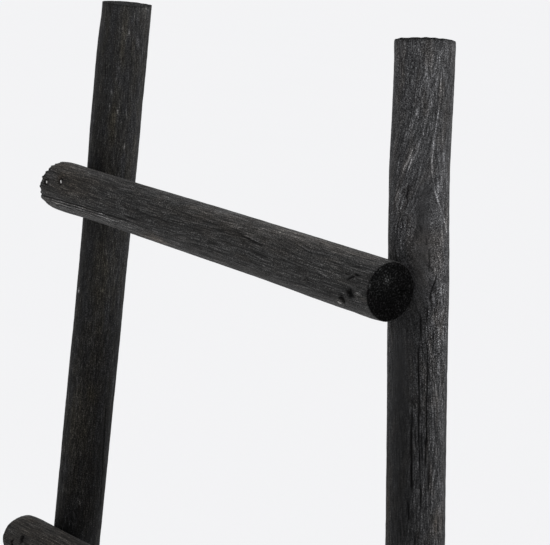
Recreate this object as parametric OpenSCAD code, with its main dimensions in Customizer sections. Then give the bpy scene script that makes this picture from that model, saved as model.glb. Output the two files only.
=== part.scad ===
// Decorative ladder of round poles: two stiles that lean in towards the top, and rungs laid
// across their fronts and nailed on. Millimetres, +Z up, the front faces -Y.
// The origin is on the floor, midway between the feet and midway through the ladder's depth.

/* [Ladder] */
// Number of rungs
rung_count = 5; // [2:1:6]
// From the tops of the stiles down to the axis of the top rung
top_drop = 176; // [80:1:300]
// From the axis of one rung to the axis of the next
rung_pitch = 336; // [200:1:400]
// From the axis of the lowest rung down to the floor
foot_gap = 230; // [120:1:350]
// Between the centrelines of the stiles, at their tops
top_width = 440; // [320:5:560]
// Angle that each stile leans inwards, in degrees
splay = 5; // [0:0.5:7]

/* [Poles] */
// Diameter of a stile
stile_d = 45; // [38:1:60]
// Diameter of a rung
rung_d = 44; // [36:1:56]
// Mean distance that a rung runs past the centreline of a stile
rung_overhang = 27; // [24:1:45]
// Bevel round the sawn ends of the poles
end_bevel = 1.2; // [0.4:0.2:4]
// Strength of the uneven hand work: 0 lays every rung level and cuts all ends alike
unevenness = 1; // [0:0.1:1]

/* [Saddles] */
// Depth of the saddle in a stile, where the back of a rung lies
saddle_depth = 6; // [2:0.5:10]
// Gap all round between a rung and its saddle
saddle_clearance = 0.1; // [0.05:0.05:0.5]

/* [Nails] */
// Diameter of a nail's shank
nail_d = 3; // [2:0.1:4]
// Diameter of a nail's head
nail_head_d = 4.4; // [4.2:0.1:6]
// Height of the straight part of the head
nail_head_h = 1; // [0.4:0.1:2]
// Length of the taper between head and shank
nail_neck_h = 1.2; // [0.4:0.1:3]
// Length of a nail, from the top of its head to its point
nail_length = 65; // [50:1:70]
// Length of a nail's point
nail_point_h = 5; // [2:0.5:8]
// How far a head is set below the surface of the rung
nail_sink = 0.8; // [0:0.1:3]
// Gap round a nail in its hole
nail_clearance = 0.05; // [0.01:0.01:0.2]

/* [Hidden] */
$fn = 96;

stile_color = [0.13, 0.13, 0.13];
rung_color = [0.17, 0.15, 0.14];
nail_color = [0.45, 0.44, 0.43];

// Hand work, from the top rung down: slope in degrees, up to the right, and what each end adds
// to the mean overhang. A longer ladder begins the lists again.
rung_slopes = [-1.2, 1.5, -0.5, 0.8, -0.9];
left_end_extras = [-7, 10, 3, 7, -2];
right_end_extras = [-10, 5, 1, -4, 8];

// Nails at each crossing, from the top rung down. The first number is the place along the rung
// from the stile's centreline, as a share of the stile's radius. The second is the height above
// the rung's axis, as a share of the rung's radius.
left_nail_places = [
    [[0.59, 0.35], [-0.51, 0.17]],
    [[0, 0.35], [-0.72, 0.02]],
    [[0.42, -0.18], [-0.38, 0.26]],
    [[0.3, 0.3], [-0.56, -0.06]],
    [[0.55, 0.06], [-0.24, 0.34]]
];
right_nail_places = [
    [[-0.19, -0.22], [-0.74, -0.5]],
    [[0.36, 0.28], [-0.44, -0.12]],
    [[0.5, 0.1], [-0.3, -0.3]],
    [[0.2, -0.24], [-0.52, 0.16]],
    [[0.46, 0.32], [-0.4, 0.04]]
];

stile_r = stile_d / 2;
rung_r = rung_d / 2;
ladder_h = top_drop + (rung_count - 1) * rung_pitch + foot_gap;
ladder_depth = stile_d + rung_d - saddle_depth;

// The stiles' axes lie at the back and the rungs' at the front
stile_y = ladder_depth / 2 - stile_r;
rung_y = rung_r - ladder_depth / 2;

// Half the width of a slice through a round pole, at a distance from its axis
function half_chord(radius, distance) = sqrt(radius * radius - distance * distance);

// A list's entry for one rung, counted from 1 at the top
function entry(list, i) = list[(i - 1) % len(list)];

function rung_z(i) = ladder_h - top_drop - (i - 1) * rung_pitch;
function rung_slope(i) = unevenness * entry(rung_slopes, i);
function end_extra(i, side) = unevenness * entry(side < 0 ? left_end_extras : right_end_extras, i);
function nail_places(i, side) = entry(side < 0 ? left_nail_places : right_nail_places, i);

// Distance of a stile's centreline from the middle of the ladder, at a height
function stile_x(z) = top_width / 2 + (ladder_h - z) * tan(splay);

// Where the axes of a rung and a stile cross, along x. side is -1 on the left and 1 on the right.
function crossing_x(i, side) =
    side * stile_x(rung_z(i)) / (1 + side * tan(splay) * tan(rung_slope(i)));
function crossing_along_rung(i, side) = crossing_x(i, side) / cos(rung_slope(i));

// Round pole along +Z with a bevel at each end
module pole(diameter, length) {
    cylinder(h = end_bevel, d1 = diameter - 2 * end_bevel, d2 = diameter);
    translate([0, 0, end_bevel])
        cylinder(h = length - 2 * end_bevel, d = diameter);
    translate([0, 0, length - end_bevel])
        cylinder(h = end_bevel, d1 = diameter, d2 = diameter - 2 * end_bevel);
}

// Turns +Z to run up a stile
module lean(side) {
    rotate([0, -side * splay, 0])
        children();
}

// Origin in the middle of a rung's axis, +X along the rung
module along_rung(i) {
    translate([0, rung_y, rung_z(i)])
        rotate([0, -rung_slope(i), 0])
            children();
}

// Round saddle that a rung takes out of a stile
module saddle(i, side) {
    along_rung(i)
        translate([crossing_along_rung(i, side) - stile_d, 0, 0])
            rotate([0, 90, 0])
                cylinder(h = 2 * stile_d, d = rung_d + 2 * saddle_clearance);
}

// Nail along +Z: the head starts at z = 0 and the point ends at nail_length
module nail(gap = 0) {
    neck_z = nail_head_h + nail_neck_h;
    point_z = nail_length - nail_point_h;
    cylinder(h = nail_head_h, d = nail_head_d + 2 * gap, $fn = 32);
    translate([0, 0, nail_head_h])
        cylinder(h = nail_neck_h, d1 = nail_head_d + 2 * gap, d2 = nail_d + 2 * gap, $fn = 32);
    translate([0, 0, neck_z])
        cylinder(h = point_z - neck_z, d = nail_d + 2 * gap, $fn = 32);
    translate([0, 0, point_z])
        cylinder(h = nail_point_h + gap, d1 = nail_d + 2 * gap, d2 = nail_d / 8, $fn = 32);
}

// The hole for a nail also opens the way from its head out to the front
module nail_hole() {
    nail(nail_clearance);
    translate([0, 0, -rung_r])
        cylinder(h = rung_r, d = nail_head_d + 2 * nail_clearance, $fn = 32);
}

// Places children at both nails of a crossing, driven in from the front of the rung
module at_nails(i, side) {
    for (place = nail_places(i, side)) {
        height = place[1] * rung_r;
        along_rung(i)
            translate([
                crossing_along_rung(i, side) + place[0] * stile_r,
                nail_sink - half_chord(rung_r, height),
                height
            ])
                rotate([-90, 0, 0])
                    children();
    }
}

module stile(side) {
    // The pole starts below the floor, so that the foot can be cut level
    below_floor = stile_d;
    color(stile_color)
    difference() {
        translate([side * stile_x(0), stile_y, 0])
            lean(side)
                translate([0, 0, -below_floor])
                    pole(stile_d, ladder_h / cos(splay) + below_floor);
        translate([side * stile_x(0) - 2 * stile_d, stile_y - stile_d, -3 * stile_d])
            cube([4 * stile_d, 2 * stile_d, 3 * stile_d]);
        for (i = [1:rung_count]) {
            saddle(i, side);
            at_nails(i, side)
                nail_hole();
        }
    }
}

module rung(i) {
    left_end = crossing_along_rung(i, -1) - rung_overhang - end_extra(i, -1);
    right_end = crossing_along_rung(i, 1) + rung_overhang + end_extra(i, 1);
    color(rung_color)
    difference() {
        along_rung(i)
            translate([left_end, 0, 0])
                rotate([0, 90, 0])
                    pole(rung_d, right_end - left_end);
        for (side = [-1, 1])
            at_nails(i, side)
                nail_hole();
    }
}

module nail_pair(i, side) {
    color(nail_color)
    at_nails(i, side)
        nail();
}

stile(-1);  // left_stile
stile(1);  // right_stile
for (i = [1:rung_count]) {
    rung(i);
    nail_pair(i, -1);
    nail_pair(i, 1);
}
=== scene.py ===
import math

import bpy
import numpy as np
from mathutils import Matrix, Vector


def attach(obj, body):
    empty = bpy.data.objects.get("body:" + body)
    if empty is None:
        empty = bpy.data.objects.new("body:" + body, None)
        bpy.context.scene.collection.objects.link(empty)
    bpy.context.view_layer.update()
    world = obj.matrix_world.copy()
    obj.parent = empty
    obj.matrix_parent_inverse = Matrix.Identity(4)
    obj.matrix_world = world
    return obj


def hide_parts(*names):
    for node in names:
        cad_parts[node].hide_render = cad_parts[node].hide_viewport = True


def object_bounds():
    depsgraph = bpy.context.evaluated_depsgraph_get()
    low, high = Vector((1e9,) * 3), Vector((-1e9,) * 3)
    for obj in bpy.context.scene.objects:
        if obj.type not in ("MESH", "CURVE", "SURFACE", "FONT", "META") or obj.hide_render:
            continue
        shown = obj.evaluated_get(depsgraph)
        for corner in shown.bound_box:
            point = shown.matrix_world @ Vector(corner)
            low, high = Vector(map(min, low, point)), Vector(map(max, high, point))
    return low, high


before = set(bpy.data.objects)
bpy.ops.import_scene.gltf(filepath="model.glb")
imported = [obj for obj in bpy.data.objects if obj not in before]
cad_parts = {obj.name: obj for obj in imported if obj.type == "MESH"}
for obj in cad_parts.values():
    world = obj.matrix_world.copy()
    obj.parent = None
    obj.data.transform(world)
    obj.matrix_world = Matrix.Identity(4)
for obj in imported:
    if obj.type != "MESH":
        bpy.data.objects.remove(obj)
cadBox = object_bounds()
mm = 0.001

# The ladder's own measures in millimetres and degrees, with the rungs counted from the top
ladder = {
    "height": 1750.0,
    "topHalfWidth": 220.0,
    "splay": 5.0,
    "stileRadius": 22.5,
    "stileDepth": 19.0,      # y of the stiles' axes
    "rungRadius": 22.0,
    "rungDepth": -19.5,      # y of the rungs' axes
    "topDrop": 176.0,
    "pitch": 336.0,
    "overhang": 27.0,
    "slopes": [-1.2, 1.5, -0.5, 0.8, -0.9],
    "leftExtras": [-7, 10, 3, 7, -2],
    "rightExtras": [-10, 5, 1, -4, 8],
    "saddleGap": 0.1,
}
rungNumbers = range(1, 6)
front = np.array([0.0, -1.0, 0.0])


def sineOf(degrees):
    return math.sin(math.radians(degrees))


def cosineOf(degrees):
    return math.cos(math.radians(degrees))


def tangentOf(degrees):
    return math.tan(math.radians(degrees))


def layStile(side):
    # told from its top downwards, with angles from the front round towards +X
    splay = ladder["splay"]
    return {
        "start": np.array([side * ladder["topHalfWidth"], ladder["stileDepth"], ladder["height"]]),
        "axis": np.array([side * sineOf(splay), 0.0, -cosineOf(splay)]),
        "side": np.array([cosineOf(splay), 0.0, side * sineOf(splay)]),
        "length": ladder["height"] / cosineOf(splay),
        "radius": ladder["stileRadius"],
    }


def rungDrop(i):
    return ladder["topDrop"] + (i - 1) * ladder["pitch"]


def crossingAlong(i, side):
    # from the middle of a rung, along its axis, to where it crosses a stile
    slope = ladder["slopes"][i - 1]
    out = ladder["topHalfWidth"] + rungDrop(i) * tangentOf(ladder["splay"])
    return side * out / (1 + side * tangentOf(ladder["splay"]) * tangentOf(slope)) / cosineOf(slope)


def layRung(i):
    # told from its left end, with angles from the front up towards +Z
    slope = ladder["slopes"][i - 1]
    left = crossingAlong(i, -1) - ladder["overhang"] - ladder["leftExtras"][i - 1]
    right = crossingAlong(i, 1) + ladder["overhang"] + ladder["rightExtras"][i - 1]
    axis = np.array([cosineOf(slope), 0.0, sineOf(slope)])
    middle = np.array([0.0, ladder["rungDepth"], ladder["height"] - rungDrop(i)])
    return {
        "start": middle + axis * left,
        "axis": axis,
        "side": np.array([-sineOf(slope), 0.0, cosineOf(slope)]),
        "length": right - left,
        "radius": ladder["rungRadius"],
        "crossings": {-1: crossingAlong(i, -1) - left, 1: crossingAlong(i, 1) - left},
    }


# The camera stands to the right of the ladder, level with its top, and looks a little down
view = {"place": (1.4543, -0.9421, 1.8216), "turned": 55.698, "down": 9.175, "rolled": 3.573,
        "lens": 137.905, "sensor": 36.0, "sees": 500.0}

studio = {
    "air": (0.905, 0.907, 0.919),
    "softbox": {"place": (0.86, 0.93, 1.55), "aim": (0.1, 0.0, 1.5), "size": 0.5, "power": 2.6,
                "colour": (1.0, 0.995, 0.985)},
    "floor": (0.994, 0.994, 0.996), "floorRadius": 120, "floorDrop": 0.0005,
    "clouds": 0.6, "cloudShade": 0.994,      # cells of cloud to a metre, and how pale the darker ones are
}


def putIn(name, data):
    thing = bpy.data.objects.new(name, data)
    bpy.context.scene.collection.objects.link(thing)
    return thing


def setCamera():
    camera = putIn("camera", bpy.data.cameras.new("camera"))
    camera.data.lens = view["lens"]
    camera.data.sensor_width = view["sensor"]
    camera.data.clip_end = view["sees"]
    stance = Matrix.Translation(view["place"])
    for axis, degrees in (("Z", view["turned"]), ("X", 90 - view["down"]), ("Z", view["rolled"])):
        stance = stance @ Matrix.Rotation(math.radians(degrees), 4, axis)
    camera.matrix_world = stance
    bpy.context.scene.camera = camera


def hangSoftbox(name, box):
    light = bpy.data.lights.new(name, "AREA")
    light.size = box["size"]
    light.energy = box["power"]
    light.color = box["colour"]
    lamp = putIn(name, light)
    lamp.location = box["place"]
    lamp.rotation_euler = (Vector(box["aim"]) - Vector(box["place"])).to_track_quat("-Z", "Y").to_euler()
    lamp.visible_camera = False


def fillAir():
    world = bpy.data.worlds.new("studio_air")
    world.use_nodes = True
    world.node_tree.nodes["Background"].inputs["Color"].default_value = studio["air"] + (1.0,)
    bpy.context.scene.world = world


setCamera()
hangSoftbox("side_softbox", studio["softbox"])
fillAir()
bpy.context.scene.view_settings.view_transform = "Standard"
print("camera, softbox and air are set")


class Wire:
    # one output of a shader node, with the usual signs working on it
    def __init__(self, tree, socket=None):
        self.tree = tree
        self.socket = socket

    def node(self, kind, settings=None, sockets=None, give=0):
        made = self.tree.nodes.new(kind)
        for key, value in (settings or {}).items():
            setattr(made, key, value)
        for key, value in (sockets or {}).items():
            if isinstance(value, Wire):
                self.tree.links.new(value.socket, made.inputs[key])
            else:
                made.inputs[key].default_value = value
        return Wire(self.tree, made.outputs[give] if len(made.outputs) else None)

    def sign(self, operation, a, b):
        return self.node("ShaderNodeMath", {"operation": operation}, {0: a, 1: b})

    def __add__(self, other):
        return self.sign("ADD", self, other)

    def __radd__(self, other):
        return self.sign("ADD", other, self)

    def __sub__(self, other):
        return self.sign("SUBTRACT", self, other)

    def __rsub__(self, other):
        return self.sign("SUBTRACT", other, self)

    def __mul__(self, other):
        return self.sign("MULTIPLY", self, other)

    def __rmul__(self, other):
        return self.sign("MULTIPLY", other, self)

    def __rpow__(self, other):
        return self.sign("POWER", other, self)

    def held(self):
        return self.node("ShaderNodeClamp", None, {0: self, 1: 0.0, 2: 1.0})

    def between(self, share, one, other):
        # a colour on its way from one to the other
        return self.node("ShaderNodeMix", {"data_type": "RGBA"}, {0: share, 6: one, 7: other}, give=2)

    def scaled(self, colour, times):
        return self.node("ShaderNodeVectorMath", {"operation": "SCALE"}, {0: colour, "Scale": times})

    def mark(self, name, give="Fac"):
        # what a mesh carries at each of its points
        return self.node("ShaderNodeAttribute", {"attribute_name": name}, give=give)

    def bump(self, strength, depth, height):
        return self.node("ShaderNodeBump", None, {"Strength": strength, "Distance": depth, "Height": height})

    def grain(self, across, along, detail=2.0, roughness=0.5):
        # noise drawn out along a pole: how many cells to a metre across and along it
        stretched = self.node("ShaderNodeVectorMath", {"operation": "MULTIPLY"},
                              {0: self, 1: (across, across, along)})
        return self.node("ShaderNodeTexNoise", None,
                         {"Vector": stretched, "Scale": 1.0, "Detail": detail, "Roughness": roughness})

    def even(self, cells, detail=2.0, roughness=0.5):
        return self.grain(cells, cells, detail, roughness)


def newMaterial(name):
    material = bpy.data.materials.new(name)
    material.use_nodes = True
    material.node_tree.nodes.clear()
    return material, Wire(material.node_tree)


def dress(wire, sockets):
    shader = wire.node("ShaderNodeBsdfPrincipled", None, sockets)
    wire.node("ShaderNodeOutputMaterial", None, {"Surface": shader})


def stainedWood(name, look):
    # black stain soaked into rough wood: paler where fibres stand up, blacker down in the pores
    material, wire = newMaterial(name)
    place = wire.mark("grainPlace", "Vector")
    anywhere = wire.node("ShaderNodeTexCoord", give="Object")
    fibres = place.grain(look["fibreCells"], look["cellsAlong"], 2.0, 0.6)
    specks = anywhere.even(look["speckCells"], 1.0, 0.8)
    strands = place.grain(look["strandCells"], 0.3 * look["cellsAlong"])
    clouds = anywhere.even(look["cloudCells"])
    tints = place.grain(*look["tintCells"])
    splinters = ((place.grain(*look["splinterCells"], 1.0) - look["splintersFrom"]) * 10.0).held()
    dust = (specks - 0.5) * wire.mark("dustiness") * look["specks"]
    unevenness = ((fibres - 0.5) * look["fibres"] + dust + (strands - 0.5) * look["strands"]
                  + (clouds - 0.5) * look["clouds"] + splinters * look["splinters"])
    doublings = wire.mark("lightness") + unevenness * wire.mark("liveliness")
    share = (wire.mark("brownness") + (tints - 0.5) * look["mottle"] + look["warmth"]).held()
    stain = wire.between(share, look["grey"] + (1.0,), look["brown"] + (1.0,))
    dress(wire, {
        "Base Color": wire.scaled(stain, 2.0 ** doublings),
        "Roughness": (look["roughness"] - splinters * 0.1 + (specks - 0.5) * 0.2).held(),
        "Specular IOR Level": look["shine"],
        "Normal": wire.bump(look["relief"], look["reliefDepth"],
                            fibres * 0.6 + specks * 0.5 + strands * 0.4 + splinters * 0.25),
    })
    return material


def sawnEndGrain(name, look):
    # open pores drink the stain, so a sawn end is the blackest part of a pole
    material, wire = newMaterial(name)
    place = wire.mark("grainPlace", "Vector")
    pores = place.even(look["poreCells"], 2.0, 0.6)
    wander = place.even(look["wanderCells"])
    flat = wire.node("ShaderNodeVectorMath", {"operation": "MULTIPLY"}, {0: place, 1: (1.0, 1.0, 0.0)})
    fromPith = wire.node("ShaderNodeVectorMath", {"operation": "LENGTH"}, {0: flat}, give="Value")
    turns = fromPith * look["ringTurns"] + wander * look["ringWander"]
    rings = wire.node("ShaderNodeMath", {"operation": "SINE"}, {0: turns})
    specks = ((place.even(look["speckCells"], 2.0, 0.7) - look["specksFrom"]) * 6.0).held()
    doublings = (wire.mark("lightness") + (pores - 0.5) * look["pores"] + rings * look["rings"]
                 + specks * look["specks"])
    dress(wire, {
        "Base Color": wire.scaled(look["black"], 2.0 ** doublings),
        "Roughness": (look["roughness"] - specks * 0.2).held(),
        "Specular IOR Level": look["shine"],
        "Normal": wire.bump(look["relief"], look["reliefDepth"], pores + rings * 0.1),
    })
    return material


def rubbedSteel(name, look):
    # nails stained over with the wood, and rubbed bright where their heads stand proud
    material, wire = newMaterial(name)
    place = wire.node("ShaderNodeTexCoord", give="Object")
    scuffs = place.even(look["scuffCells"], 3.0, 0.6)
    pits = place.even(look["pitCells"])
    bare = (wire.mark("bareness") * 2.2 + (scuffs - 0.5) * look["scuffs"] - look["covered"]).held()
    stain = wire.between(pits, look["stain"] + (1.0,), look["rust"] + (1.0,))
    metal = wire.between(scuffs, look["dull"] + (1.0,), look["bright"] + (1.0,))
    dress(wire, {
        "Base Color": wire.between(bare, stain, metal),
        "Metallic": bare * 0.9,
        "Roughness": (look["roughness"] - bare * 0.35 + (scuffs - 0.5) * 0.3).held(),
        "Normal": wire.bump(look["relief"], look["reliefDepth"], scuffs + pits),
    })
    return material


def newPiece(name, spots, faces, materials, smooth=True):
    mesh = bpy.data.meshes.new(name)
    mesh.from_pydata(spots, [], faces)
    mesh.polygons.foreach_set("use_smooth", np.full(len(faces), smooth))
    for material in materials:
        mesh.materials.append(material)
    return putIn(name, mesh)


def markPoints(mesh, name, values):
    mesh.attributes.new(name, "FLOAT", "POINT").data.foreach_set("value", values.astype(np.float32))


def ease(x):
    return x * x * (3 - 2 * x)


def wrapped(degrees):
    return (degrees + 180) % 360 - 180


def tableAt(table, at):
    return np.interp(at, *zip(*table))


def roundPole(radius, turns, down):
    return np.stack([radius * np.cos(turns), radius * np.sin(turns), down], -1)


def streaks(seed, lanes, cells):
    # random streaks lying along a pole and closed round it, from -1 to 1
    rng = np.random.default_rng(seed)
    values = rng.uniform(-1, 1, (lanes, cells + 3))
    starts = rng.uniform(0, 1, lanes)

    def lane(k, share):
        v = np.clip(share, 0, 1) * cells + starts[k]
        low = np.floor(v).astype(int)
        mix = ease(v - low)
        return values[k, low] * (1 - mix) + values[k, low + 1] * mix

    def field(turn, share):
        u = (turn % 1.0) * lanes
        first = np.floor(u).astype(int)
        mix = ease(u - first)
        return lane(first % lanes, share) * (1 - mix) + lane((first + 1) % lanes, share) * mix

    return field


def placesAlong(length, step, fineStretches):
    # places along a pole, closer together over the fine stretches
    spots = [0.0]
    while spots[-1] < length:
        steps = [fine for start, end, fine in fineStretches if start <= spots[-1] < end]
        spots.append(spots[-1] + min(steps + [step]))
    return np.array(spots) * length / spots[-1]


# What all the poles share, in mm unless a note says otherwise
growth = {
    "rim": (0.4, 0.12),                              # how far the rim is rounded off, and its middle row
    "grains": [(1.25, 4.5), (1.7, 15), (4.4, 48)],   # how wide and long specks, fibres and strands are
    "driftPitch": 110, "swellPitch": 130, "tonePitch": 75,
    "lineFade": 3.0, "lineWander": 0.2, "rubHeight": 0.12, "rubLight": 1.6,
    # for stray marks: room kept at the end, length, degrees aside, width, and depth or strength
    "strayCracks": (40, (10, 60), 4, (0.35, 0.65), (0.4, 1.3)),
    "strayRubs": (20, (4, 26), 5, (0.35, 0.8), (0.3, 1.0)),
}

# A sawn end. Its rings of points and the frayed edge are told in shares of the radius
sawnEnd = {
    "rings": [0.965, 0.92, 0.86, 0.79, 0.71, 0.62, 0.53, 0.44, 0.35, 0.26, 0.17, 0.08],
    "tilt": 14.0, "rimDark": 1.2, "rimReach": 0.8,   # how far a slanting cut and a dark rim reach in
    "dish": 0.1, "sawMarks": 0.12, "sawPitch": 3.3,
    # drying checks across an end: width and depth in mm, and the painted shade in them in doublings
    "checkWidth": 0.45, "checkDepth": 1.1, "checkShade": 2.0,
    "frayFrom": 0.8, "frayReach": 0.165, "frayTowards": 45, "fraySpread": 60,
}


class Pole:
    # the skin of one round pole: a grid of places along it and angles round it
    def __init__(self, name, lay, wood):
        self.name, self.lay, self.wood = name, lay, wood
        self.seed = wood["seed"]
        self.arc = math.radians(1) * lay["radius"]      # mm to a degree
        self.around = 360 * self.arc
        length, (bevel, halfway) = lay["length"], growth["rim"]
        inner = placesAlong(length - 2 * bevel, wood["step"], wood["fineAlong"]) + bevel
        self.places = np.concatenate([[0.0, halfway], inner, [length - halfway, length]])
        self.inset = np.concatenate([[bevel, halfway], np.zeros(len(inner)), [halfway, bevel]])
        start, end, fine = wood["fineRound"]
        self.angles = np.concatenate([np.arange(start, end, fine / self.arc),
                                      np.arange(end, start + 360, wood["stepRound"] / self.arc)])
        self.down, self.angle = np.meshgrid(self.places, self.angles, indexing="ij")
        self.share = self.down / length
        self.depth = np.zeros_like(self.down)           # mm that the surface lies below the full round
        self.light = np.zeros_like(self.down)           # paler or blacker, in doublings
        self.brown = np.zeros_like(self.down)
        self.live = np.ones_like(self.down)             # how strongly the grain shows
        self.rubbed = np.zeros_like(self.down)
        self.crackShade = np.zeros_like(self.down)
        self.wander = streaks(self.seed + 6, 40, int(length / 4))
        self.followFigure()
        self.growGrain()

    def hill(self, at, angle, reachAlong, reachRound):
        if isinstance(reachAlong, tuple):               # one reach above it, another below
            reachAlong = np.where(self.down < at, *reachAlong)
        return np.exp(-((self.down - at) / reachAlong) ** 2 - (wrapped(self.angle - angle) / reachRound) ** 2)

    def slowly(self, number, lanes, pitch, turn):
        # streaks that change slowly along the pole
        return streaks(self.seed + number, lanes, max(3, int(self.lay["length"] / pitch)))(turn, self.share)

    def followFigure(self):
        # the grain drifts sideways, and parts round the knots
        shift = self.wood["drift"] * self.slowly(5, 6, growth["driftPitch"], self.angle / 360)
        for at, angle, reachAlong, reachRound, push in self.wood["knots"]:
            shift -= push * wrapped(self.angle - angle) * self.arc * self.hill(at, angle, reachAlong, reachRound)
        for *where, aside in self.wood["sweeps"]:
            shift += aside * self.hill(*where)
        self.turn = self.angle / 360 + shift / self.around

    def growGrain(self):
        wood, drawn = self.wood, self.lay["length"] / self.wood["drawnOut"]
        speck, fibre, strand = (
            streaks(self.seed + 1 + n, int(self.around / wide), int(drawn / long))(self.turn, self.share)
            for n, (wide, long) in enumerate(growth["grains"]))
        swell = self.slowly(4, 6, growth["swellPitch"], self.angle / 360)
        tone = self.slowly(9, 5, growth["tonePitch"], self.turn)
        low = np.clip(strand - 0.15, 0, 1)
        self.depth += wood["speckDepth"] * (0.5 + 0.5 * speck) + wood["fibreDepth"] * np.clip(fibre, 0, 1)
        self.depth += wood["strandDepth"] * low + wood["swellDepth"] * (0.5 + 0.5 * swell)
        # tone along the pole; on the stiles its darkening downwards is partly the stain and partly painted shade for
        # the light falling off lower down
        toneAndLightFalloff = tableAt(wood["toneAlong"], self.down)
        self.live += 0.1 - 0.25 * toneAndLightFalloff                  # paler wood is calmer
        self.light += toneAndLightFalloff + wood["toneDrift"] * tone
        self.light -= wood["contrast"] * (0.3 * fibre + 0.5 * low + 0.22 * speck)
        self.fibre = fibre

    def lineNear(self, wide, path):
        # the rows near a drawn line, and how strongly it marks each spot there
        downs, angles, reach = path[::2], path[1::2], growth["lineFade"]
        first, last = downs[0], downs[-1]
        rows = slice(*np.searchsorted(self.places, [first - reach - 1, last + reach + 1]))
        down = self.down[rows]
        across = wrapped(self.angle[rows] - np.interp(down, downs, angles)) * self.arc
        across += growth["lineWander"] * self.wander(self.turn[rows], self.share[rows])
        past = np.maximum(first - down, down - last)
        inner = reach + min(7.0, 0.3 * (last - first))
        return rows, np.exp(-(across / wide) ** 2) * ease(np.clip((reach - past) / inner, 0, 1))

    def cutCracks(self, cracks):
        # each crack is cut into the skin and darkened with painted shade, as shade would fall down in it
        for wide, deep, *path in cracks:
            rows, groove = self.lineNear(wide, path)
            self.depth[rows] = np.maximum(self.depth[rows], deep * groove)
            self.crackShade[rows] = np.maximum(self.crackShade[rows], min(3.0, 0.25 + 1.9 * deep) * groove)

    def rubLines(self, rubs):
        for wide, strength, *path in rubs:
            rows, mark = self.lineNear(wide, path)
            self.rubbed[rows] = np.maximum(self.rubbed[rows], strength * mark)
            self.depth[rows] -= growth["rubHeight"] * min(strength, 1.0) * mark

    def weather(self):
        # stray cracks and rubbed fibres beside the drawn ones
        rng = np.random.default_rng(self.seed + 20)
        for key, draw in (("strayCracks", self.cutCracks), ("strayRubs", self.rubLines)):
            clear, lengths, aside, widths, strengths = growth[key]
            for n in range(self.wood[key]):
                at, angle = rng.uniform(0, self.lay["length"] - clear), rng.uniform(0, 360)
                end = (at + rng.uniform(*lengths), angle + rng.uniform(-aside, aside))
                wide, strength = rng.uniform(*widths), rng.uniform(*strengths)
                if not self.isDrawn(at, angle):
                    draw([(wide, strength, at, angle, *end)])

    def comb(self):
        # fine strokes that lie with the grain: rubbed pale, with a groove beside them that painted shade makes
        # darker
        rng = np.random.default_rng(self.seed + 50)
        for start, end, low, high, slant, count, strength in self.wood["combed"]:
            for n in range(count):
                at, angle, long = rng.uniform(start, end), rng.uniform(low, high), rng.uniform(5, 17)
                lean = slant * rng.uniform(0.7, 1.3) * long
                wide = rng.uniform(0.3, 0.6)
                pale, deep = strength * rng.uniform(0.4, 1.2), strength * rng.uniform(0.1, 0.5)
                self.rubLines([(wide, pale, at, angle, at + long, angle + lean)])
                self.cutCracks([(wide, deep, at + 1, angle + 2.4, at + long, angle + lean + 2.6)])

    def isDrawn(self, at, angle):
        # the side that the photograph shows has its own marks
        end, low, high = self.wood["drawnSide"]
        return at < end and low < wrapped(angle) < high

    def shade(self):
        # rubs are painted paler, and cracks darker with painted shade
        self.light += growth["rubLight"] * self.rubbed * (0.85 - 0.25 * self.fibre) - self.crackShade
        self.dust = tableAt(self.wood["dustAlong"], self.down)
        # patches laid paler or darker: the wood's own tone, and on some poles painted light and painted shade
        for *where, doublings in self.wood["pale"]:
            self.light += doublings * self.hill(*where) * (0.85 - 0.3 * self.fibre)
        for key, layer, way in (("calm", self.live, -1), ("brown", self.brown, 1), ("lumps", self.depth, -1)):
            for *where, strength in self.wood[key]:
                layer += way * strength * self.hill(*where)

    def sawEnds(self):
        # a handsaw leaves the ends a little off square, with a torn rim
        wood, length = self.wood, self.lay["length"]
        teeth = streaks(self.seed + 7, max(12, int(self.around / wood["teeth"])), 4)
        edge = np.minimum(self.down, length - self.down)
        for k, (near, way) in enumerate(((self.down < length / 2, 1), (self.down >= length / 2, -1))):
            torn = wood["torn"][k] * (0.5 + 0.5 * teeth(self.angle / 360, np.full_like(edge, 0.2 + 0.6 * k)))
            cut = tableAt(wood["cuts"][k], self.angle % 360)
            pull = torn * np.exp(-edge / (0.7 + 1.3 * wood["torn"][k])) - cut * np.exp(-edge / sawnEnd["tilt"])
            self.down = np.where(near, self.down + way * pull, self.down)
            self.depth += np.where(near, 0.3 * torn * np.exp(-edge / 1.5), 0.0)
        self.light -= sawnEnd["rimDark"] * np.exp(-edge / sawnEnd["rimReach"])

    def spotsOf(self):
        lay = self.lay
        reach = lay["radius"] - self.depth - self.inset[:, None]
        sideways = tableAt(self.wood["bends"], self.down)
        turn = np.radians(self.angle)
        return (lay["start"] + self.down[..., None] * lay["axis"]
                + (reach * np.cos(turn))[..., None] * front
                + (reach * np.sin(turn) + sideways)[..., None] * lay["side"])

    def endRing(self, k, s, beside, checks, fray):
        # how deep one ring of a sawn end lies, and how pale it is
        wood, saw = self.wood, sawnEnd
        sunk = saw["dish"] * (1 - s) + saw["sawMarks"] * (0.5 + 0.5 * np.sin(beside * saw["sawPitch"] + 2 * s))
        frayed = wood["frayed"][k] * max(0.0, s - saw["frayFrom"]) / saw["frayReach"] * fray
        turned = wrapped(self.angles - saw["frayTowards"]) / saw["fraySpread"]
        light = wood["endLight"][k] + frayed * np.exp(-turned ** 2)
        for at, off, reach, doublings in wood["endPatches"][k]:
            away = s ** 2 + off ** 2 - 2 * s * off * np.cos(np.radians(self.angles - at))
            light += doublings * np.exp(-away / reach ** 2)
        for angle, inner, outer in checks:
            aside = wrapped(self.angles - angle) * self.arc * s
            gap = np.exp(-(aside / saw["checkWidth"]) ** 2) * (inner < s < outer)
            # each check is sunk, and darkened with painted shade
            sunk, light = sunk + saw["checkDepth"] * gap, light - saw["checkShade"] * gap
        return sunk, light

    def closeEnds(self, skin, mesh):
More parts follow.
